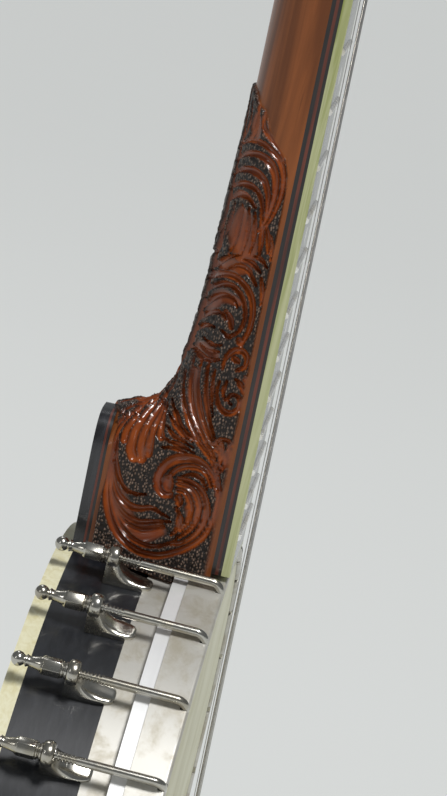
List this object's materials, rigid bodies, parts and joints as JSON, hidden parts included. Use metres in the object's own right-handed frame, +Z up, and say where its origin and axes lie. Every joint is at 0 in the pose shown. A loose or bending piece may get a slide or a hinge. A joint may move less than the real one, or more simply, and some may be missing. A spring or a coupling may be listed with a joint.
{
  "type": "five-string banjo",
  "caption": "Open-back five-string banjo with a carved heel, a hook-tensioned head and geared tuners.",
  "frame": {"origin": "foot of the pot on its centre plane, at the depth of the head's face, where a stand's cradle holds it", "axes": "+Z up the neck, the head faces -Y and the open back +Y, the drone string is on the -X side"},
  "size_m": [0.304, 0.0989, 0.97],
  "materials": {
    "neck_mahogany": "satin oil finish, carved ground darkened",
    "maple": "satin",
    "ebonised_rim": "gloss lacquer",
    "ebony": "polished",
    "black_veneer": "satin",
    "dyed_red_veneer": "satin",
    "nickel_plate": "nickel plated, lightly worn",
    "fret_wire": "polished nickel silver",
    "aluminium_hoop": "satin",
    "skin_head": "calf-skin finish",
    "ivoroid": "grained celluloid, buffed",
    "bone": "polished",
    "pearl": "polished",
    "pearl_button": "pearl-look plastic",
    "plain_steel": "plain",
    "string_steel": "bright wire"
  },
  "bodies": {
    "banjo": {"brace_screws": "nickel_plate", "bracket_hooks": "nickel_plate", "bracket_nuts": "nickel_plate", "bracket_shoes": "nickel_plate", "bridge": "maple", "bridge_cap": "ebony", "dowel_stick": "maple", "end_bolt": "nickel_plate", "fifth_housing": "nickel_plate", "fifth_nut": "bone", "fingerboard": "ebony", "fingerboard_binding": "ivoroid", "flesh_hoop": "aluminium_hoop", "frets": "fret_wire", "head": "skin_head", "head_collar": "skin_head", "heel_black_veneer": "black_veneer", "heel_cap": "ebony", "heel_red_veneer": "dyed_red_veneer", "lower_black_veneer": "black_veneer", "neck": "neck_mahogany", "neck_brace": "nickel_plate", "nut": "bone", "peghead_back_plate": "ebony", "peghead_inlay": "pearl", "peghead_overlay": "ebony", "position_dots": "pearl", "red_veneer": "dyed_red_veneer", "rim": "ebonised_rim", "rim_binding": "ivoroid", "rim_skirt": "nickel_plate", "shoe_screws": "nickel_plate", "string_1": "string_steel", "string_2": "string_steel", "string_3": "string_steel", "string_4": "string_steel", "string_5": "string_steel", "tail_spacer": "nickel_plate", "tailpiece": "nickel_plate", "tailpiece_strap": "nickel_plate", "tension_hoop": "nickel_plate", "tone_ring": "nickel_plate", "truss_rod": "plain_steel", "tuner_1_housing": "nickel_plate", "tuner_2_housing": "nickel_plate", "tuner_3_housing": "nickel_plate", "tuner_4_housing": "nickel_plate", "tuner_bushings": "nickel_plate", "upper_black_veneer": "black_veneer"},
    "knob_4": {"tuner_4_button": "pearl_button"},
    "capstan_4": {"tuner_4_post": "nickel_plate"},
    "knob_3": {"tuner_3_button": "pearl_button"},
    "capstan_3": {"tuner_3_post": "nickel_plate"},
    "knob_2": {"tuner_2_button": "pearl_button"},
    "capstan_2": {"tuner_2_post": "nickel_plate"},
    "knob_1": {"tuner_1_button": "pearl_button"},
    "capstan_1": {"tuner_1_post": "nickel_plate"},
    "drone_knob": {"fifth_button": "pearl_button"},
    "drone_capstan": {"fifth_post": "nickel_plate"}
  },
  "joints": [
    {"name": "knob_4_turn", "type": "hinge", "parent": "banjo", "child": "knob_4", "pos_m": [-0.019, 0.06378, 0.84574], "axis": [0, 0.9713, -0.2377], "continuous": true},
    {"name": "capstan_4_turn", "type": "hinge", "parent": "banjo", "child": "capstan_4", "pos_m": [-0.019, 0.02774, 0.85456], "axis": [0, 0.9713, -0.2377], "continuous": true},
    {"name": "knob_3_turn", "type": "hinge", "parent": "banjo", "child": "knob_3", "pos_m": [-0.0225, 0.07851, 0.90596], "axis": [0, 0.9713, -0.2377], "continuous": true},
    {"name": "capstan_3_turn", "type": "hinge", "parent": "banjo", "child": "capstan_3", "pos_m": [-0.0225, 0.04248, 0.91478], "axis": [0, 0.9713, -0.2377], "continuous": true},
    {"name": "knob_2_turn", "type": "hinge", "parent": "banjo", "child": "knob_2", "pos_m": [0.0225, 0.07851, 0.90596], "axis": [0, 0.9713, -0.2377], "continuous": true},
    {"name": "capstan_2_turn", "type": "hinge", "parent": "banjo", "child": "capstan_2", "pos_m": [0.0225, 0.04248, 0.91478], "axis": [0, 0.9713, -0.2377], "continuous": true},
    {"name": "knob_1_turn", "type": "hinge", "parent": "banjo", "child": "knob_1", "pos_m": [0.019, 0.06378, 0.84574], "axis": [0, 0.9713, -0.2377], "continuous": true},
    {"name": "capstan_1_turn", "type": "hinge", "parent": "banjo", "child": "capstan_1", "pos_m": [0.019, 0.02774, 0.85456], "axis": [0, 0.9713, -0.2377], "continuous": true},
    {"name": "drone_knob_turn", "type": "hinge", "parent": "banjo", "child": "drone_knob", "pos_m": [-0.04514, 0.02323, 0.64953], "axis": [-1, 0, 0], "continuous": true},
    {"name": "drone_capstan_turn", "type": "hinge", "parent": "banjo", "child": "drone_capstan", "pos_m": [-0.03114, 0.00924, 0.64996], "axis": [0, -0.9995, 0.0305], "continuous": true}
  ],
  "couplings": [
    {"joint": "capstan_4_turn", "follows": "knob_4_turn", "ratio": 0.25},
    {"joint": "capstan_3_turn", "follows": "knob_3_turn", "ratio": 0.25},
    {"joint": "capstan_2_turn", "follows": "knob_2_turn", "ratio": 0.25},
    {"joint": "capstan_1_turn", "follows": "knob_1_turn", "ratio": 0.25},
    {"joint": "drone_capstan_turn", "follows": "drone_knob_turn", "ratio": 0.071429}
  ]
}
